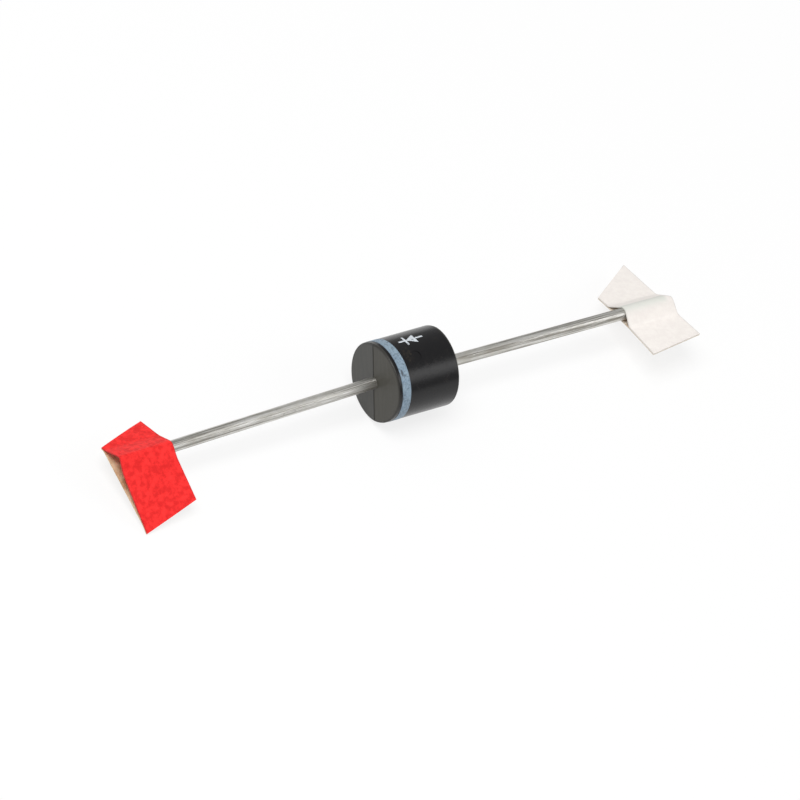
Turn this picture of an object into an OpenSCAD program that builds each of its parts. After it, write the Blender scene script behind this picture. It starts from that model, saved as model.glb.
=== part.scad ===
// Axial rectifier diode cut from its reel: a moulded body on two tinned copper leads, with a piece
// of the reel's carrier tape still folded round the end of each lead.
//
// The origin is the middle of the body and +X runs from the cathode to the anode. Everything is
// drawn with the front flaps of the tapes towards -Y. The whole part is then rolled about X, so that
// it lies as it would on a bench: on the side of its body, propped by a corner of the red tape.

/* [Body] */
// Diameter of the moulded body
body_d = 8; // [6:0.1:12]
// Length of the body, from the ridge of one end face to the ridge of the other
body_l = 7.6; // [6:0.1:12]
// How far each half of an end face slopes back from its ridge to the rim, the draft of the mould
face_draft = 0.2; // [0.05:0.05:0.5]
// Radius of the moulded rims
rim_r = 0.14; // [0.06:0.02:0.4]
// Width of the parting line on the end faces
parting_w = 0.1; // [0.06:0.02:0.3]
// Height of the parting line above the end faces
parting_h = 0.03; // [0.02:0.01:0.08]
// Angle of the parting line on the end faces, from the plane in which the leads bend
parting_angle = -1.6; // [-5:0.1:5]
// Diameter of the ejector pin's mark on the side of the body
ejector_d = 1.2; // [0.8:0.1:2]
// Place of the ejector pin's mark along the body, from the middle towards the cathode
ejector_x = 0.7; // [-1:0.1:1]
// Angle of the ejector pin's mark round the body, from the top towards the front
ejector_angle = 42; // [20:1:90]

/* [Printing] */
// Width of the cathode band
band_w = 1; // [0.5:0.05:2]
// Plain strip between the rounded rim at the cathode's end and the band
band_gap = 0.26; // [0.1:0.02:1.2]
// Thickness of the printing ink
ink_t = 0.02; // [0.01:0.01:0.05]
// Length of the printed diode symbol along the body
mark_l = 2.8; // [2:0.1:4]
// Height of the printed diode symbol round the body
mark_h = 1.3; // [0.8:0.1:2]
// Stroke of the printed diode symbol
mark_stroke = 0.2; // [0.1:0.05:0.3]
// Angle of the printed diode symbol round the body, from the top towards the front
mark_angle = 12; // [0:1:60]

/* [Leads] */
// Diameter of the tinned leads
lead_d = 1.2; // [0.8:0.05:1.4]
// Length of each lead outside the body
lead_l = 27.5; // [20:0.5:40]
// Diameter of the nail heads inside the body
head_d = 4.4; // [3.6:0.1:5]
// Thickness of the nail heads
head_t = 0.8; // [0.4:0.1:1.2]
// Angle by which the cathode lead droops
cathode_droop = 1.6; // [0.2:0.2:6]
// Angle by which the anode lead droops
anode_droop = 0.4; // [0.2:0.2:6]
// Straight length of a lead between the body and the place where it bends down
bend_gap = 0.6; // [0.3:0.1:2]

/* [Junction] */
// Side of the square silicon die
die_w = 3; // [2:0.1:3.2]
// Thickness of the die
die_t = 0.28; // [0.2:0.02:0.5]
// Thickness of the solder on each side of the die
solder_t = 0.06; // [0.04:0.01:0.15]
// How far the solder stays inside the die's edge
solder_inset = 0.15; // [0.05:0.05:0.4]
// How far the coating bulges beyond the nail heads
coat_bulge = 0.5; // [0.3:0.05:0.8]

/* [Carrier tape] */
// Thickness of each layer of tape
tape_t = 0.09; // [0.06:0.01:0.2]
// Gap that the adhesive fills between the layers, and round the lead
glue_gap = 0.01; // [0.01:0.005:0.03]
// Length over which a layer bends where it leaves the flap to pass the lead
crease = 0.3; // [0.1:0.05:0.5]

/* [Red tape on the cathode lead: inner edge, outer edge] */
// Width of the tape along the lead
red_w = 6; // [5:0.1:7]
// How far the tape runs past the end of the lead
red_overhang = 2.6; // [0.4:0.1:3]
// Tilt of the back flap above level
red_back_tilt = [8, 15]; // [-10:1:30]
// Height of the back flap's joint above the middle of the lead
red_back_rise = [0.29, -0.2]; // [-0.6:0.01:0.6]
// Length of the back flap
red_back_l = [4.9, 2.9]; // [2.8:0.1:8]
// Tilt of the front flap below level
red_front_tilt = [48, 54]; // [20:1:70]
// Height of the front flap's joint above the middle of the lead
red_front_rise = [0.32, 0.02]; // [-0.6:0.01:0.6]
// Length of the front flap
red_front_l = [5.8, 7.35]; // [5.5:0.05:9]
// Where the layers part on the back flap, from the middle of the lead
red_back_part = [1.8, 2.5]; // [1.2:0.1:2.5]
// Where the layers part on the front flap
red_front_part = [1.3, 6.4]; // [1.2:0.1:7]
// How far the top layer sinks in, below the fold on its front
red_dent = [0, 0.35]; // [0:0.05:0.5]
// Slack of the backing under the lead
red_slack = [0, 0.38]; // [0:0.02:0.5]
// Radius of the fold past the end of the lead
red_fold_r = 0.3; // [0.2:0.05:0.6]
// Place of the fold past the end of the lead: behind and above the middle of the lead
red_fold = [0.1, 0.3]; // [0:0.05:0.4]

/* [White tape on the anode lead: inner edge, outer edge] */
// Width of the tape along the lead
white_w = 5.9; // [5:0.1:7]
// How far the tape runs past the end of the lead
white_overhang = 0.8; // [0.4:0.1:3]
// Tilt of the back flap above level
white_back_tilt = [14, 14]; // [-10:1:30]
// Length of the back flap
white_back_l = [3.9, 7.7]; // [3.5:0.1:9]
// Tilt of the front flap below level
white_front_tilt = [20, 14]; // [0:1:60]
// Length of the front flap
white_front_l = [5.7, 5.1]; // [4:0.1:8]
// Where the layers part on the back flap, from the middle of the lead
white_back_part = [2.2, 2.2]; // [1.2:0.1:2.6]
// Where the layers part on the front flap
white_front_part = [1.4, 1.4]; // [1.2:0.1:3]
// How far the joint of the flaps hangs below the underside of the lead
white_sag = [0, 0.1]; // [0:0.02:0.3]
// Inner radius of the bump past the end of the lead
white_fold_r = 0.53; // [0.3:0.01:0.6]
// Place of the bump past the end of the lead: behind and above the middle of the lead
white_fold = [0, -0.13]; // [-0.3:0.01:0.2]

/* [Hidden] */
$fn = 96;

body_r = body_d / 2;
lead_r = lead_d / 2;
face_angle = atan(face_draft / body_r);
head_x = die_t / 2 + solder_t;        // where a nail head's flat face lies
neck_l = lead_r;                      // cone between a nail head and its lead
neck_r = lead_r * 1.6;
end_chamfer = lead_r / 5;             // on the cropped end of a lead
ejector_sink = 0.02;                  // depth of the ejector pin's mark at its rim
eps = 0.01;                           // overlap of cuts and of the pieces of one solid

// ---- Body ----

// A solid of revolution about X, from an outline of [radius, x] points.
module turned(outline) {
    rotate([0, 90, 0]) rotate_extrude() polygon(outline);
}

// All that lies behind an end face which is square to X at the origin, with its rim rounded.
module behind_face(depth) {
    steps = 4;
    turned(concat(
        [[0, -depth], [0, 0]],
        [for (i = [0 : steps]) let (a = 90 * (1 - i / steps))
            [body_r - rim_r + rim_r * cos(a), rim_r * sin(a) - rim_r]],
        [[2 * body_r, -rim_r - body_r], [2 * body_r, -depth]]));
}

// One half of the body, on the +Y side of the parting plane, with its end faces sloped by the draft.
module body_half() {
    intersection_for (end = [0, 1]) mirror([end, 0, 0]) intersection() {
        rotate([0, 90, 0]) cylinder(r = body_r, h = body_l, center = true);
        translate([-body_l, 0, -body_d]) cube([2 * body_l, body_d, 2 * body_d]);
        translate([body_l / 2, 0, 0]) rotate([0, 0, face_angle]) behind_face(2 * body_l);
    }
}

// The fine raised line that the mould's joint leaves across both end faces.
module parting_line() {
    height = body_d - 2 * rim_r;
    cube([body_l + 2 * parting_h, parting_w, height], center = true);
}

// The shallow round flat that an ejector pin leaves on the front of the body.
module ejector_mark() {
    sink = ejector_d * ejector_d / (8 * body_r) + ejector_sink;
    translate([-ejector_x, 0, 0]) rotate([ejector_angle, 0, 0])
        translate([0, 0, body_r - sink]) cylinder(d = ejector_d, h = body_r);
}

module moulded_body() {
    color([0.09, 0.09, 0.1])
    difference() {
        rotate([parting_angle, 0, 0]) union() {
            body_half();
            mirror([0, 1, 0]) body_half();
            parting_line();
        }
        ejector_mark();
        coating_outline();
        for (end = [0, 1]) mirror([end, 0, 0]) lead_core();
    }
}

// ---- Printing ----

// A layer of ink round the body, from x = 0 towards the anode.
module ink_layer(length) {
    rotate([0, 90, 0]) difference() {
        cylinder(r = body_r + ink_t, h = length);
        translate([0, 0, -eps]) cylinder(r = body_r, h = length + 2 * eps);
    }
}

module cathode_band() {
    color([0.5, 0.62, 0.72])
    translate([-body_l / 2 + face_draft + rim_r + band_gap, 0, 0]) ink_layer(band_w);
}

// The generic symbol of a diode: an arrow that points at a bar, on a line, towards the cathode.
module diode_symbol() {
    tip = -mark_h * 0.4;
    line = mark_stroke / 2;
    half = [[-mark_l / 2, line], [tip - mark_stroke, line], [tip - mark_stroke, mark_h / 2],
            [tip, mark_h / 2], [tip, line], [tip + line * 1.6, line], [-tip, mark_h / 2],
            [-tip, line], [mark_l / 2, line]];
    polygon(concat(half, [for (i = [len(half) - 1 : -1 : 0]) [half[i].x, -half[i].y]]));
}

module polarity_mark() {
    color([0.86, 0.88, 0.9])
    intersection() {
        translate([-body_l / 4, 0, 0]) ink_layer(body_l / 2);
        rotate([mark_angle, 0, 0]) linear_extrude(height = body_d) diode_symbol();
    }
}

// ---- Leads ----

// What the lead fills inside the body: nail head, neck and shank, along +X.
module lead_core() {
    turned([[0, head_x], [head_d / 2, head_x], [head_d / 2, head_x + head_t],
            [neck_r, head_x + head_t], [lead_r, head_x + head_t + neck_l],
            [lead_r, body_l], [0, body_l]]);
}

// Puts its children at the lead's bend, with X along the run that droops from there.
module on_run(droop) {
    translate([body_l / 2 + bend_gap, 0, 0]) rotate([0, droop, 0]) children();
}

// Keeps what lies on one side of the bend's mitre: side is -1 towards the body and 1 away from it.
module cut_at_bend(droop, side) {
    reach = body_l + lead_l;
    intersection() {
        children();
        on_run(droop / 2) translate([(side - 1) / 2 * reach, -lead_d, -lead_d])
            cube([reach, 2 * lead_d, 2 * lead_d]);
    }
}

// A lead with its nail head, along +X, that bends down by the droop just outside the body.
module lead(droop) {
    run_l = lead_l - bend_gap;
    seam = body_l / 2 - lead_r;
    turned([[0, head_x], [head_d / 2, head_x], [head_d / 2, head_x + head_t],
            [neck_r, head_x + head_t], [lead_r, head_x + head_t + neck_l], [lead_r, seam],
            [0, seam]]);
    cut_at_bend(droop, -1) translate([seam, 0, 0]) rotate([0, 90, 0])
        cylinder(r = lead_r, h = 2 * lead_r + bend_gap);
    cut_at_bend(droop, 1) on_run(droop)
        turned([[0, -lead_r], [lead_r, -lead_r], [lead_r, run_l - end_chamfer],
                [lead_r - end_chamfer, run_l], [0, run_l]]);
}

module anode_lead() {
    color([0.72, 0.7, 0.66]) lead(anode_droop);
}

module cathode_lead() {
    color([0.72, 0.7, 0.66]) mirror([1, 0, 0]) lead(cathode_droop);
}

// ---- Junction, sealed inside the body ----

module silicon_die() {
    color([0.35, 0.37, 0.42]) cube([die_t, die_w, die_w], center = true);
}

// One pad of solder between the die and the nail head on the +X side.
module solder_pad() {
    side = die_w - 2 * solder_inset;
    translate([die_t / 2, -side / 2, -side / 2]) cube([solder_t, side, side]);
}

module anode_solder() {
    color([0.6, 0.62, 0.65]) solder_pad();
}

module cathode_solder() {
    color([0.6, 0.62, 0.65]) mirror([1, 0, 0]) solder_pad();
}

// The round bead that coats the edges of the die and wets the rims of both nail heads.
module coating_outline() {
    core_r = (head_d - coat_bulge) / 2;
    reach = coat_bulge * 1.5;
    half_l = head_x + head_t * 0.7;
    turned(concat([[0, -half_l]],
        [for (a = [-90 : 15 : 90]) [core_r + reach * cos(a), half_l * sin(a)]],
        [[0, half_l]]));
}

module junction_coating() {
    color([0.75, 0.72, 0.66])
    difference() {
        coating_outline();
        for (end = [0, 1]) mirror([end, 0, 0]) {
            lead_core();
            solder_pad();
        }
        silicon_die();
    }
}

// ---- Carrier tape ----
// A tape is two layers with the lead between them. Across the lead, a layer's section is a line in
// [y, z] from the middle of the lead. A ruled sheet joins the sections from the inner edge to the
// outer edge. The sections of both layers are one straight line where the layers are stuck together.

function mix(pair, s) = pair[0] + (pair[1] - pair[0]) * s;
function flipped(p, flip) = flip ? [p.x, -p.y] : p;

// A point on a flap: side is 1 on the back flap and -1 on the front flap, far is the distance out
// from the middle of the lead and lift is the height of the flap's joint above it.
function on_flap(side, tilt, lift, far) =
    side > 0 ? [far * cos(tilt) - lift * sin(tilt), far * sin(tilt) + lift * cos(tilt)]
             : [-far * cos(tilt) - lift * sin(tilt), -far * sin(tilt) + lift * cos(tilt)];

// Angle, from 0 to 360, of the direction from a to b.
function heading(a, b) = let (h = atan2(b.y - a.y, b.x - a.x)) h < -90 ? h + 360 : h;

// The points of a bend that starts at a, turns at b and ends at c.
bend_steps = 4;
function bend(a, b, c) = [for (i = [0 : bend_steps]) let (s = i / bend_steps)
    (1 - s) * (1 - s) * a + 2 * s * (1 - s) * b + s * s * c];

function toward(a, b, d) = a + (b - a) * min(0.5, d / norm(b - a));

// The taut line from one parting point, over a circle, to the other parting point. Where the circle
// isn't in the way it is the straight line between them.
arc_steps = 8;
function over(back, front, middle, r) = let (
        leave = heading(middle, back) + acos(min(1, r / norm(back - middle))),
        land = heading(middle, front) - acos(min(1, r / norm(front - middle))))
    [for (i = [0 : arc_steps]) let (s = i / arc_steps, a = leave + (land - leave) * s)
        leave < land ? middle + r * [cos(a), sin(a)] : mix([back, front], 0.25 + 0.5 * s)];

// A layer's section on its adhesive side. flaps is [tilt, lift, length, parting point] for the back
// flap and for the front flap, dent is how far the layer sinks in just below the fold, and under is
// true for the backing, which passes below the lead.
flap_steps = 3;
function section(flaps, middle, r, dent, under) = let (
        back = flaps[0], front = flaps[1],
        corner_b = on_flap(1, back[0], back[1], back[2]),
        corner_f = on_flap(-1, front[0], front[1], front[2]),
        part_b = flipped(on_flap(1, back[0], back[1], back[3]), under),
        part_f = flipped(on_flap(-1, front[0], front[1], front[3]), under),
        wrap = over(part_b, part_f, middle, r),
        start_b = toward(part_b, flipped(corner_b, under), crease),
        start_f = toward(part_f, flipped(corner_f, under), crease),
        land = wrap[arc_steps],
        span = part_f - land,
        low = land + 0.22 * span + dent * [-span.y, span.x] / norm(span),
        loop = concat(
            bend(start_b, part_b, toward(part_b, wrap[0], crease)), wrap,
            bend(toward(low, land, crease), low, toward(low, part_f, crease)),
            bend(toward(part_f, low, crease), part_f, start_f)))
    concat(
        [for (i = [0 : flap_steps - 1]) mix([corner_b, flipped(start_b, under)], i / flap_steps)],
        [for (p = loop) flipped(p, under)],
        [for (i = [1 : flap_steps]) mix([flipped(start_f, under), corner_f], i / flap_steps)]);

// The direction square to a section at point i, on the side away from the adhesive of the top layer.
function square_to(line, i) = let (
        a = line[max(0, i - 1)], b = line[min(len(line) - 1, i + 1)], d = b - a)
    [d.y, -d.x] / norm(d);

// Moves a section square to itself.
function moved(line, by) = [for (i = [0 : len(line) - 1]) line[i] + by * square_to(line, i)];

// A sheet through sections: lines holds, for each place along the lead, [place, near line, far line].
module sheet(lines, reversed) {
    n = len(lines[0][1]);
    m = len(lines);
    points = [for (l = lines) for (side = [1, 2]) for (p = l[side]) [l[0], p.x, p.y]];
    function at(k, side, i) = (2 * k + side) * n + i;
    function quad(a, b, c, d) = [[a, b, c], [a, c, d]];
    faces = [for (group = concat(
        [for (k = [0 : m - 2]) for (i = [0 : n - 2])
            quad(at(k, 0, i), at(k, 0, i + 1), at(k + 1, 0, i + 1), at(k + 1, 0, i))],
        [for (k = [0 : m - 2]) for (i = [0 : n - 2])
            quad(at(k, 1, i), at(k + 1, 1, i), at(k + 1, 1, i + 1), at(k, 1, i + 1))],
        [for (k = [0 : m - 2]) for (i = [0, n - 1])
            i == 0 ? quad(at(k, 0, i), at(k + 1, 0, i), at(k + 1, 1, i), at(k, 1, i))
                   : quad(at(k, 1, i), at(k + 1, 1, i), at(k + 1, 0, i), at(k, 0, i))],
        [for (i = [0 : n - 2]) quad(at(0, 0, i), at(0, 1, i), at(0, 1, i + 1), at(0, 0, i + 1))],
        [for (i = [0 : n - 2]) quad(at(m - 1, 0, i), at(m - 1, 0, i + 1),
                                    at(m - 1, 1, i + 1), at(m - 1, 1, i))]))
        for (f = group) reversed ? [f[2], f[1], f[0]] : f];
    polyhedron(points, faces);
}

// Places along the tape where sections are taken, from its inner edge to its outer edge: even steps
// beside the lead, then past its end.
lead_end = lead_l + glue_gap;
tape_steps = 4;
function places(w, overhang) = let (s0 = lead_l + overhang - w, s1 = lead_l + overhang)
    concat([for (i = [0 : tape_steps]) s0 + (lead_end - s0) * i / tape_steps],
           [for (i = [1 : tape_steps]) lead_end + (s1 - lead_end) * i / tape_steps]);

// One layer of tape on a lead's run. back and front give each flap's pairs for the two edges:
// tilt, lift, length and parting point. slack and dent are the layer's pairs, and fold is
// [middle, radius] past the end of the lead.
module layer(w, overhang, droop, back, front, slack, dent, fold, under) {
    lines = [for (x = places(w, overhang)) let (
        s = (x - lead_l - overhang + w) / w,
        past = max(0, (x - lead_end) / (overhang - glue_gap)),
        r = lead_r + 2 * glue_gap,
        near = section([[for (v = back) mix(v, s)], [for (v = front) mix(v, s)]],
            fold[0] * past, mix([r, fold[1]], past) + mix(slack, s), past * mix(dent, s), under),
        side = under ? -1 : 1)
        [x - bend_gap, moved(near, side * glue_gap / 2),
         moved(near, side * (glue_gap / 2 + tape_t))]];
    on_run(droop) sheet(lines, under);
}

none = [0, 0];
red_back = [red_back_tilt, red_back_rise, red_back_l, red_back_part];
red_front = [red_front_tilt, red_front_rise, red_front_l, red_front_part];

module cathode_tape() {
    color([0.93, 0.16, 0.14])
    mirror([1, 0, 0]) layer(red_w, red_overhang, cathode_droop, red_back, red_front,
                            none, red_dent, [red_fold, red_fold_r], false);
}

module cathode_tape_backing() {
    color([0.85, 0.72, 0.56])
    mirror([1, 0, 0]) layer(red_w, red_overhang, cathode_droop, red_back, red_front,
                            red_slack, none, [none, lead_r], true);
}

// The white tape's backing lies flat against the underside of the lead.
white_rise = [-1, -1] * (lead_r + 2 * glue_gap) - white_sag;
white_back = [white_back_tilt, white_rise, white_back_l, white_back_part];
white_front = [white_front_tilt, white_rise, white_front_l, white_front_part];

module anode_tape() {
    color([0.95, 0.92, 0.89])
    layer(white_w, white_overhang, anode_droop, white_back, white_front,
          none, none, [white_fold, white_fold_r], false);
}

module anode_tape_backing() {
    color([0.88, 0.76, 0.6])
    layer(white_w, white_overhang, anode_droop, white_back, white_front,
          none, none, [none, lead_r], true);
}

// ---- The whole part ----

// The roll that brings the body down to the level of one front corner of the red tape's backing:
// i is 0 for the corner at the inner edge and 1 for the corner at the outer edge.
function roll_on(i) = let (
        corner = on_flap(-1, red_front_tilt[i], red_front_rise[i] - glue_gap / 2 - tape_t,
                         red_front_l[i]),
        run = lead_l - bend_gap + red_overhang - (1 - i) * red_w,
        y = corner.x,
        z = corner.y * cos(cathode_droop) - run * sin(cathode_droop))
    -90 - atan2(z, y) - acos(min(1, body_r / norm([y, z])));

// The corner that stands out further is the one that props the part.
rest_roll = min(roll_on(0), roll_on(1));

module at_rest() {
    rotate([rest_roll, 0, 0]) children();
}

at_rest() moulded_body();
at_rest() cathode_band();
at_rest() polarity_mark();
at_rest() cathode_lead();
at_rest() anode_lead();
at_rest() silicon_die();
at_rest() cathode_solder();
at_rest() anode_solder();
at_rest() junction_coating();
at_rest() cathode_tape();
at_rest() cathode_tape_backing();
at_rest() anode_tape();
at_rest() anode_tape_backing();
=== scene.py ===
import math

import bmesh
import bpy
from mathutils import Matrix, Vector


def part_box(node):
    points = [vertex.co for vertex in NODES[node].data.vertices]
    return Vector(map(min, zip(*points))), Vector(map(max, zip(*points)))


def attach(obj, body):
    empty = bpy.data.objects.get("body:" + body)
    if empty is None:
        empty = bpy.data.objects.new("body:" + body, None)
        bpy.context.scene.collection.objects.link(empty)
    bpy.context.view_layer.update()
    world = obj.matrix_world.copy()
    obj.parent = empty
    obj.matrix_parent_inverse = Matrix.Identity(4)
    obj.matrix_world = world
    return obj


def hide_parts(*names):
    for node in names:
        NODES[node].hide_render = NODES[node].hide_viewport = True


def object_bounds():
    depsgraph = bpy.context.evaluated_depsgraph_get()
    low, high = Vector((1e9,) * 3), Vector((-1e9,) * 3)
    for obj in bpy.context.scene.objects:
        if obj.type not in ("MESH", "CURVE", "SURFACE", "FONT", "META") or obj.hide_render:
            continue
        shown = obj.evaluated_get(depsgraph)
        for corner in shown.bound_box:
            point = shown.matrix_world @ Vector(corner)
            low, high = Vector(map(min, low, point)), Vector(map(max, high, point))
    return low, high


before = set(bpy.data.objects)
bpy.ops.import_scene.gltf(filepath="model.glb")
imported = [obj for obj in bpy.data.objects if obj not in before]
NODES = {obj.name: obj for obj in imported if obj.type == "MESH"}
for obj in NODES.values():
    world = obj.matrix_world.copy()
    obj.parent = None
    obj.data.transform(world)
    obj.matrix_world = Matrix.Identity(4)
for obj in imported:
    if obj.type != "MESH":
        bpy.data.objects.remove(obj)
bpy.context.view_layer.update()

MM = 0.001

# ---- Sizes the looks follow, in metres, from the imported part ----

MOULDING_LOW, MOULDING_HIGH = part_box("moulded_body")
BODY_R = MOULDING_HIGH.z
BODY_HALF = MOULDING_HIGH.x
BAND_LOW, BAND_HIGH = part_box("cathode_band")
BEND_X = BODY_HALF + 0.57 * MM         # where a lead bends down a little
RED_EDGES = (23.5, 29.5)               # inner and outer edge of each tape, in mm from the bend
WHITE_EDGES = (21.8, 27.7)
LYING_ROLL = math.radians(-28.14)      # how far the part has rolled about its axis as it lies
CATHODE_DROOP = math.radians(1.6)
ANODE_DROOP = math.radians(0.4)
PARTING_TURN = math.radians(-1.6)      # of the parting line, from upright as drawn
ROLL = Matrix.Rotation(LYING_ROLL, 4, "X")

# ---- Marks of wear on the body: place along the axis in mm, then angle round it in degrees ----

STAIN_X, STAIN_ANGLE = -1.35, 38.0
NICK_X, NICK_ANGLE = -2.91, 60.0
LEAD_TIP_X = 26.9                      # where the lead's end stops showing through the white tape

# ---- Smooth copies ----

WELD_DISTANCE = 0.002 * MM
FLAT_ANGLE = math.radians(0.02)        # faces that differ by less are joined
SHARP_ANGLE = math.radians(50)         # edges that turn by more stay sharp

# ---- Stage ----

FLOOR_HALF_SIZE = 1.2
FLOOR_COLOUR = (0.85, 0.85, 0.85, 1.0)
FLOOR_GLOW = 0.8                       # share of plain white that the camera and mirrors see
ROOM_STRENGTH = 0.55                   # of the world on the object; the camera sees 1
SENSOR_WIDTH = 36.0


# ---- Shader maths as expressions ----

class Wire:
    """A socket of a material, with the operators that the recipes below use."""

    def __init__(self, tree, socket):
        self.tree, self.socket = tree, socket

    def math(self, operation, *others, clamp=False):
        node = self.tree.nodes.new("ShaderNodeMath")
        node.operation, node.use_clamp = operation, clamp
        for slot, value in enumerate((self, *others)):
            plug(self.tree, node.inputs[slot], value)
        return Wire(self.tree, node.outputs[0])

    def __add__(self, other):
        return self.math("ADD", other)

    def __sub__(self, other):
        return self.math("SUBTRACT", other)

    def __mul__(self, other):
        return self.math("MULTIPLY", other)

    def __truediv__(self, other):
        return self.math("DIVIDE", other)

    def __rsub__(self, other):
        return (self * -1.0) + other

    def __neg__(self):
        return self * -1.0

    __radd__, __rmul__ = __add__, __mul__

    def clamp(self):
        return self.math("ADD", 0.0, clamp=True)

    def abs(self):
        return self.math("ABSOLUTE")

    def step(self, low, high):
        """0 below low and 1 above high, with a smooth slope between them."""
        node = self.tree.nodes.new("ShaderNodeMapRange")
        node.interpolation_type = "SMOOTHSTEP"
        plug(self.tree, node.inputs["Value"], self)
        node.inputs["From Min"].default_value = low
        node.inputs["From Max"].default_value = high
        return Wire(self.tree, node.outputs["Result"])


def plug(tree, socket, value):
    """Links a wire to a socket, or sets the socket to a plain value."""
    if isinstance(value, Wire):
        tree.links.new(value.socket, socket)
    elif isinstance(value, (tuple, list)) and len(value) == 3 and socket.type == "RGBA":
        socket.default_value = (*value, 1.0)
    else:
        socket.default_value = value


class Finish:
    """A material on a Principled shader, built from object coordinates in millimetres."""

    def __init__(self, name, turn=0.0, droop=0.0, bend=0.0, cathode_side=False):
        self.material = bpy.data.materials.new(name)
        self.material.use_nodes = True
        self.tree = self.material.node_tree
        self.tree.nodes.clear()
        self.shader = self.tree.nodes.new("ShaderNodeBsdfPrincipled")
        output = self.tree.nodes.new("ShaderNodeOutputMaterial")
        self.tree.links.new(self.shader.outputs[0], output.inputs["Surface"])
        place = self.node("ShaderNodeTexCoord", out="Object")
        # back to how the part was drawn: unrolled, then along the drooping lead
        drawn = self.node("ShaderNodeVectorRotate", {"rotation_type": "X_AXIS"}, "Vector",
                          Vector=place, Angle=turn)
        if droop:
            side = -1.0 if cathode_side else 1.0
            drawn = self.node("ShaderNodeVectorMath", {"operation": "SUBTRACT"}, "Vector",
                              {0: drawn, 1: (side * bend, 0.0, 0.0)})
            drawn = self.node("ShaderNodeVectorRotate", {"rotation_type": "Y_AXIS"}, "Vector",
                              Vector=drawn, Angle=-side * droop)
        self.place = self.node("ShaderNodeVectorMath", {"operation": "SCALE"}, "Vector",
                               {0: drawn, "Scale": 1.0 / MM})
        xyz = self.tree.nodes.new("ShaderNodeSeparateXYZ")
        plug(self.tree, xyz.inputs[0], self.place)
        self.x, self.y, self.z = (Wire(self.tree, xyz.outputs[i]) for i in range(3))

    def node(self, kind, settings=None, out=0, values=None, **named):
        """Adds a node: its settings first, then the values or links of its sockets."""
        node = self.tree.nodes.new(kind)
        for key, value in (settings or {}).items():
            setattr(node, key, value)
        for key, value in {**(values or {}), **named}.items():
            plug(self.tree, node.inputs[key.replace("_", " ") if isinstance(key, str) else key],
                 value)
        return Wire(self.tree, node.outputs[out])

    def stretched(self, sx, sy, sz):
        """The place, with each direction scaled."""
        return self.node("ShaderNodeVectorMath", {"operation": "MULTIPLY"}, "Vector",
                         {0: self.place, 1: (sx, sy, sz)})

    def noise(self, scale, detail=3.0, roughness=0.55, at=None):
        return self.node("ShaderNodeTexNoise", None, "Fac", Vector=at or self.place, Scale=scale,
                         Detail=detail, Roughness=roughness)

    def blend(self, share, first, second):
        """Mixes two colours: share 0 gives the first and 1 the second."""
        node = self.tree.nodes.new("ShaderNodeMix")
        node.data_type = "RGBA"
        sockets = {s.identifier: s for s in node.inputs}
        plug(self.tree, sockets["Factor_Float"], share)
        plug(self.tree, sockets["A_Color"], first)
        plug(self.tree, sockets["B_Color"], second)
        return Wire(self.tree, next(s for s in node.outputs if s.identifier == "Result_Color"))

    def relief(self, height, distance, strength=1.0):
        """Feeds a height, in millimetres times distance, to the shader's normal."""
        self.set(Normal=self.node("ShaderNodeBump", None, "Normal", Height=height,
                                  Distance=distance * MM, Strength=strength))

    def set(self, **sockets):
        for name, value in sockets.items():
            plug(self.tree, self.shader.inputs[name.replace("_", " ")], value)

    def radius(self):
        return (self.y * self.y + self.z * self.z).math("SQRT")

    def angle(self):
        """Angle round the axis in degrees, from the top towards the front."""
        return (-self.y).math("ARCTAN2", self.z) * math.degrees(1.0)

    def spot(self, u, v, u0, v0, du, dv, soft=0.35):
        """1 inside an ellipse about (u0, v0), 0 outside it."""
        a, b = (u - u0) / du, (v - v0) / dv
        return 1.0 - (a * a + b * b).step(1.0 - soft, 1.0 + soft)


def wear(node_or_piece, finish):
    """Gives a piece one finish."""
    slots = node_or_piece.data.materials
    slots.clear()
    slots.append(finish.material)


# ---- Finishes ----

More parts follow.
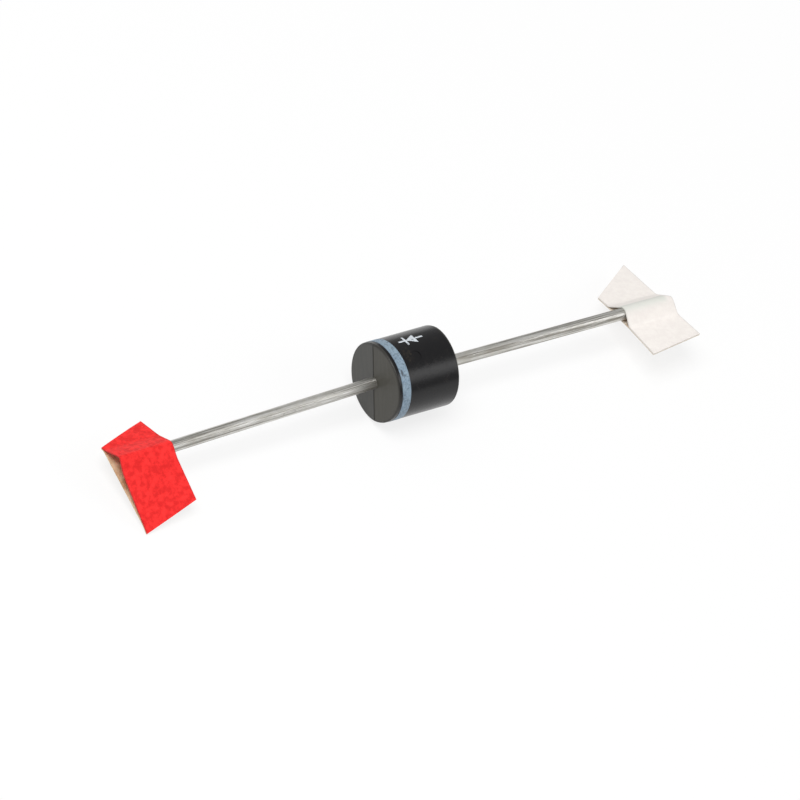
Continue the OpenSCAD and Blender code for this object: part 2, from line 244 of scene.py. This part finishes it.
def moulding_finish():
    f = Finish("moulding_compound", -LYING_ROLL - PARTING_TURN)
    half = BODY_HALF / MM
    on_end = f.x.abs().step(half - 0.42, half - 0.2)
    # painted shade: a dark band along the rim of each end face
    rim_painted_shade = f.radius().step(BODY_R / MM - 0.3, BODY_R / MM - 0.06) * on_end
    fine = f.noise(14.0, 4.0, 0.6)
    cloud = f.noise(0.9, 3.0, 0.5)
    striae = f.noise(1.0, 3.0, 0.6, f.stretched(0.4, 9.0, 0.45))
    angle = f.angle()
    # side: nearly black, with a brownish bloom and a few dusty scuffs
    bloom = f.noise(1.6, 3.0, 0.6).step(0.5, 0.72)
    side = f.blend(bloom * 0.5, (0.0045, 0.0043, 0.0052), (0.0095, 0.0078, 0.007))
    stain = f.spot(f.x, angle, STAIN_X, STAIN_ANGLE, 0.55, 11.0, 0.9)
    side = f.blend(stain * f.noise(3.2, 3.0, 0.6).step(0.4, 0.7) * 0.7, side, (0.03, 0.024, 0.017))
    scuffs = f.noise(1.0, 4.0, 0.65, f.stretched(2.2, 9.0, 9.0)).step(0.66, 0.74)
    side = f.blend(scuffs * 0.22, side, (0.04, 0.037, 0.034))
    # end faces: duller, and painted lighter than the side for the light they catch; painted a
    # cooler shade on one side of the parting line and a browner one on the other, for the light on
    # the two tilted halves
    painted_half_light = f.y.step(-0.06, 0.06)
    end = f.blend(painted_half_light, (0.052, 0.0495, 0.041), (0.047, 0.047, 0.043))
    end = f.blend(striae.step(0.42, 0.62) * 0.45, end, (0.072, 0.069, 0.06))
    parting = 1.0 - f.y.abs().step(0.03, 0.11)
    end = f.blend(parting * 0.65, end, (0.012, 0.012, 0.012))
    # the end faces darken to painted shade at their rim
    end = f.blend(rim_painted_shade * 0.5, end, (0.012, 0.012, 0.012))
    # the end faces carry painted light here, while the side stays nearly black
    f.set(Base_Color=f.blend(on_end, side, end),
          Roughness=(0.2 + bloom * 0.06 + scuffs * 0.18 + fine * 0.05) * (1.0 - on_end)
          + (0.3 + striae * 0.12 + fine * 0.06) * on_end,
          IOR=1.4)
    f.relief(fine * 0.35 + cloud * 1.2 + striae * on_end * 0.8, 0.012, 0.6)
    return f


def band_finish():
    f = Finish("band_ink", -LYING_ROLL)
    angle = f.angle()
    grain = f.noise(9.0, 4.0, 0.7)
    drag = f.noise(1.0, 4.0, 0.65, f.stretched(3.0, 7.0, 7.0))
    holes = f.noise(4.6, 3.0, 0.65).step(0.55, 0.64) * 0.8
    streak = drag.step(0.55, 0.68) * 0.7
    nick = f.spot(f.x, angle, NICK_X, NICK_ANGLE, 0.13, 5.0, 0.5)
    edge = (f.x - (BAND_LOW.x + BAND_HIGH.x) / 2 / MM).abs().step(0.42, 0.5)
    bare = (holes.math("MAXIMUM", streak).math("MAXIMUM", nick)
            .math("MAXIMUM", edge * grain.step(0.4, 0.6))).clamp()
    ink = f.blend(grain.step(0.35, 0.65), (0.11, 0.18, 0.26), (0.30, 0.39, 0.47))
    ink = f.blend(f.noise(0.7, 2.0).step(0.35, 0.65) * 0.4, ink, (0.27, 0.36, 0.42))
    f.set(Base_Color=f.blend(bare * 0.85, ink, (0.03, 0.04, 0.055)),
          Roughness=0.42 + grain * 0.2 - bare * 0.15)
    f.relief(grain * 0.6 - bare, 0.012, 0.6)
    return f


def mark_finish():
    f = Finish("mark_ink", -LYING_ROLL)
    grain = f.noise(9.0, 4.0, 0.7)
    worn = f.noise(3.6, 3.0, 0.6).step(0.58, 0.7)
    ink = f.blend(grain.step(0.3, 0.7), (0.48, 0.52, 0.56), (0.7, 0.74, 0.78))
    f.set(Base_Color=f.blend(worn * 0.7, ink, (0.08, 0.085, 0.095)), Roughness=0.45 + grain * 0.2)
    f.relief(grain * 0.6 - worn, 0.01, 0.5)
    return f


def lead_finish(name, droop, cathode_side):
    """Tin on drawn copper: long fine streaks along the wire, dull patches and small nicks."""
    f = Finish(name, -LYING_ROLL, droop, BEND_X, cathode_side)
    long_streaks = f.noise(1.0, 4.0, 0.65, f.stretched(0.06, 4.6, 4.6))
    fine_streaks = f.noise(1.0, 3.0, 0.6, f.stretched(0.25, 15.0, 15.0))
    patches = f.noise(0.55, 3.0, 0.55)
    pits = f.noise(6.0, 2.0, 0.5, f.stretched(0.5, 1.0, 1.0)).step(0.68, 0.76)
    tin = f.blend(patches.step(0.35, 0.7), (0.7, 0.69, 0.655), (0.6, 0.585, 0.54))
    tin = f.blend(long_streaks.step(0.48, 0.58) * 0.75, tin, (0.2, 0.185, 0.155))
    tin = f.blend(fine_streaks.step(0.54, 0.64) * 0.6, tin, (0.92, 0.92, 0.9))
    tin = f.blend(pits * 0.5, tin, (0.2, 0.19, 0.17))
    f.set(Base_Color=tin, Metallic=1.0,
          Roughness=0.3 + patches * 0.14 + long_streaks * 0.12 + pits * 0.2)
    f.relief(long_streaks * 2.4 + fine_streaks * 0.9 - pits * 0.8, 0.03, 0.7)
    return f


def paper(f, colour_low, colour_high, fleck, ribs):
    """Crepe paper: soft mottling, fibres and ribs square to the lead. Gives colour and height."""
    mottle = f.noise(1.7, 4.0, 0.65)
    fibres = f.noise(1.0, 4.0, 0.7, f.stretched(3.0, 8.0, 8.0))
    crepe = f.noise(1.0, 2.0, 0.5, f.stretched(ribs, 0.5, 0.5))
    colour = f.blend(mottle.step(0.35, 0.65), colour_low, colour_high)
    colour = f.blend(fibres.step(0.58, 0.74) * 0.5, colour, fleck)
    return colour, mottle * 0.7 + fibres * 0.5 + crepe * 0.8


def cut_edges(f, inner, outer, width=0.16):
    """1 at the two cut edges of a tape, which lie square to the lead."""
    along = f.x.abs()
    inner_edge = 1.0 - (along - inner).step(0.0, width)
    outer_edge = (along - (outer - width)).step(0.0, width)
    return inner_edge.math("MAXIMUM", outer_edge)


def red_tape_finish():
    f = Finish("red_crepe_paper", -LYING_ROLL, CATHODE_DROOP, BEND_X, True)
    colour, height = paper(f, (0.68, 0.006, 0.006), (0.93, 0.022, 0.02), (0.45, 0.004, 0.004), 5.0)
    colour = f.blend(cut_edges(f, *RED_EDGES) * 0.55, colour, (0.42, 0.01, 0.01))
    f.set(Base_Color=colour, Roughness=0.62 + f.noise(5.0) * 0.2)
    f.set(Sheen_Weight=0.08, Sheen_Roughness=0.5, Specular_IOR_Level=0.3)
    f.relief(height, 0.09, 0.7)
    return f


def white_tape_finish():
    f = Finish("white_crepe_paper", -LYING_ROLL, ANODE_DROOP, BEND_X)
    colour, height = paper(f, (0.79, 0.745, 0.71), (0.83, 0.79, 0.75), (0.74, 0.7, 0.665), 5.0)
    colour = f.blend(cut_edges(f, *WHITE_EDGES) * 0.4, colour, (0.5, 0.48, 0.45))
    # the lead shows through as a cool grey stripe
    over_lead = ((1.0 - f.y.abs().step(0.35, 0.85))
                 * (1.0 - f.x.step(LEAD_TIP_X - 0.3, LEAD_TIP_X + 0.3)))
    colour = f.blend(over_lead * 0.75, colour, (0.62, 0.64, 0.59))
    f.set(Base_Color=colour, Roughness=0.62 + f.noise(5.0) * 0.15)
    f.relief(height, 0.05, 0.4)
    return f


def backing_finish(name, droop, cathode_side, dark, light):
    f = Finish(name, -LYING_ROLL, droop, BEND_X, cathode_side)
    colour, height = paper(f, dark, light, tuple(c * 0.75 for c in dark), 4.0)
    # patchy brown darkening along the lead: adhesive pressed out by the lead, and painted shade in
    # the gap between the layers round it
    glue_and_gap_shade = (1.0 - f.y.abs().step(0.5, 1.3)) * f.noise(1.4, 3.0).step(0.3, 0.6)
    colour = f.blend(glue_and_gap_shade * 0.7, colour, (0.42, 0.19, 0.06))
    f.set(Base_Color=colour, Roughness=0.5 + f.noise(4.0) * 0.2)
    f.relief(height, 0.05, 0.5)
    return f


def plain_inner(name, colour, roughness, metallic, grain_scale):
    f = Finish(name, -LYING_ROLL)
    grain = f.noise(grain_scale, 3.0, 0.6)
    darker = tuple(c * 0.75 for c in colour)
    f.set(Base_Color=f.blend(grain.step(0.3, 0.7), darker, colour),
          Roughness=roughness + grain * 0.12, Metallic=metallic)
    f.relief(grain, 0.01, 0.4)
    return f


# ---- Pieces ----

def smooth_copy(node, name):
    """A merged copy of a CAD node that stands for it, smooth except at its sharp edges."""
    mesh = NODES[node].data.copy()
    piece = bpy.data.objects.new(name, mesh)
    bpy.context.scene.collection.objects.link(piece)
    bm = bmesh.new()
    bm.from_mesh(mesh)
    bmesh.ops.remove_doubles(bm, verts=bm.verts, dist=WELD_DISTANCE)
    bmesh.ops.dissolve_limit(bm, angle_limit=FLAT_ANGLE, verts=bm.verts, edges=bm.edges)
    bmesh.ops.recalc_face_normals(bm, faces=bm.faces)
    for face in bm.faces:
        face.smooth = True
    for edge in bm.edges:
        if len(edge.link_faces) == 2:
            edge.smooth = edge.calc_face_angle(math.pi) < SHARP_ANGLE
    bm.to_mesh(mesh)
    bm.free()
    if "custom_normal" in mesh.attributes:
        mesh.attributes.remove(mesh.attributes["custom_normal"])
    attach(piece, "root")
    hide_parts(node)
    return piece


red_tape = smooth_copy("cathode_tape", "red_tape")
wear(red_tape, red_tape_finish())
red_backing = smooth_copy("cathode_tape_backing", "red_tape_backing")
wear(red_backing, backing_finish("red_tape_backing_paper", CATHODE_DROOP, True,
                                 (0.6, 0.42, 0.24), (0.75, 0.58, 0.38)))
white_tape = smooth_copy("anode_tape", "white_tape")
wear(white_tape, white_tape_finish())
white_backing = smooth_copy("anode_tape_backing", "white_tape_backing")
wear(white_backing, backing_finish("white_tape_backing_paper", ANODE_DROOP, False,
                                   (0.66, 0.57, 0.46), (0.78, 0.7, 0.6)))

wear(NODES["moulded_body"], moulding_finish())
wear(NODES["cathode_band"], band_finish())
wear(NODES["polarity_mark"], mark_finish())
wear(NODES["cathode_lead"], lead_finish("cathode_lead_tin", CATHODE_DROOP, True))
wear(NODES["anode_lead"], lead_finish("anode_lead_tin", ANODE_DROOP, False))
wear(NODES["silicon_die"], plain_inner("lapped_silicon", (0.2, 0.21, 0.25), 0.3, 0.0, 6.0))
wear(NODES["cathode_solder"], plain_inner("cathode_solder", (0.55, 0.56, 0.58), 0.4, 1.0, 5.0))
wear(NODES["anode_solder"], plain_inner("anode_solder", (0.55, 0.56, 0.58), 0.4, 1.0, 5.0))
wear(NODES["junction_coating"], plain_inner("junction_coating", (0.62, 0.6, 0.55), 0.35, 0.0, 3.0))


# ---- Stage, light and camera ----

def white_floor():
    bm = bmesh.new()
    bmesh.ops.create_grid(bm, x_segments=1, y_segments=1, size=FLOOR_HALF_SIZE)
    bmesh.ops.translate(bm, verts=bm.verts, vec=(0, 0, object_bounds()[0].z))
    mesh = bpy.data.meshes.new("floor")
    bm.to_mesh(mesh)
    bm.free()
    floor = bpy.data.objects.new("floor", mesh)
    bpy.context.scene.collection.objects.link(floor)
    material = bpy.data.materials.new("floor_paper")
    material.use_nodes = True
    tree = material.node_tree
    tree.nodes.clear()
    diffuse = tree.nodes.new("ShaderNodeBsdfDiffuse")
    diffuse.inputs["Color"].default_value = FLOOR_COLOUR
    white = tree.nodes.new("ShaderNodeEmission")
    mix = tree.nodes.new("ShaderNodeMixShader")
    rays = tree.nodes.new("ShaderNodeLightPath")
    seen = (Wire(tree, rays.outputs["Is Camera Ray"]) + Wire(tree, rays.outputs["Is Glossy Ray"])
            + Wire(tree, rays.outputs["Is Transmission Ray"])).clamp() * FLOOR_GLOW
    tree.links.new(seen.socket, mix.inputs["Fac"])
    tree.links.new(diffuse.outputs[0], mix.inputs[1])
    tree.links.new(white.outputs[0], mix.inputs[2])
    output = tree.nodes.new("ShaderNodeOutputMaterial")
    tree.links.new(mix.outputs[0], output.inputs["Surface"])
    mesh.materials.append(material)


def soft_world():
    """White to the camera, and a plain dim room to the object, so that the moulding stays dark."""
    world = bpy.data.worlds.new("studio")
    bpy.context.scene.world = world
    world.use_nodes = True
    tree = world.node_tree
    tree.nodes.clear()
    background = tree.nodes.new("ShaderNodeBackground")
    rays = tree.nodes.new("ShaderNodeLightPath")
    seen = Wire(tree, rays.outputs["Is Camera Ray"])
    strength = seen * (1.0 - ROOM_STRENGTH) + ROOM_STRENGTH
    tree.links.new(strength.socket, background.inputs["Strength"])
    output = tree.nodes.new("ShaderNodeOutputWorld")
    tree.links.new(background.outputs[0], output.inputs["Surface"])


def soft_box(name, place, target, width, height, power):
    """An area lamp that faces its target."""
    lamp = bpy.data.lights.new(name, "AREA")
    lamp.shape = "RECTANGLE"
    lamp.size, lamp.size_y, lamp.energy = width, height, power
    box = bpy.data.objects.new(name, lamp)
    box.location = place
    box.rotation_euler = (Vector(place) - Vector(target)).to_track_quat("Z", "Y").to_euler()
    bpy.context.scene.collection.objects.link(box)


def portrait_camera():
    """Looks down on the front of the cathode's end from far off, through a long lens."""
    azimuth, elevation = math.radians(-36.153), math.radians(22.822)
    distance = 1500 * MM
    width = 77.32 * MM                   # what the frame spans at the body
    across, down = 0.507 * MM, 2.512 * MM
    back = Vector((math.sin(azimuth) * math.cos(elevation),
                   -math.cos(azimuth) * math.cos(elevation), math.sin(elevation)))
    right = Vector((math.cos(azimuth), math.sin(azimuth), 0.0))
    back, right = ROLL.to_3x3() @ back, ROLL.to_3x3() @ right
    up = back.cross(right)
    place = back * distance
    aim = -right * across - up * down
    lens_back = (place - aim).normalized()
    lens_right = (right - lens_back * right.dot(lens_back)).normalized()
    lens_up = lens_back.cross(lens_right)
    camera = bpy.data.objects.new("camera", bpy.data.cameras.new("camera"))
    bpy.context.scene.collection.objects.link(camera)
    camera.matrix_world = Matrix.Translation(place) @ Matrix(
        (lens_right, lens_up, lens_back)).transposed().to_4x4()
    camera.data.sensor_width = SENSOR_WIDTH
    camera.data.lens = SENSOR_WIDTH * distance / width
    camera.data.clip_start, camera.data.clip_end = 0.01, 20.0
    bpy.context.scene.camera = camera


white_floor()
soft_world()
soft_box("key", (-0.2, -0.02, 0.55), (0, 0, 0), 0.35, 0.35, 2.7)
soft_box("fill", (0.4, -0.3, 0.3), (0, 0, 0), 0.3, 0.3, 0.6)
portrait_camera()

view = bpy.context.scene.view_settings
view.view_transform = "Standard"
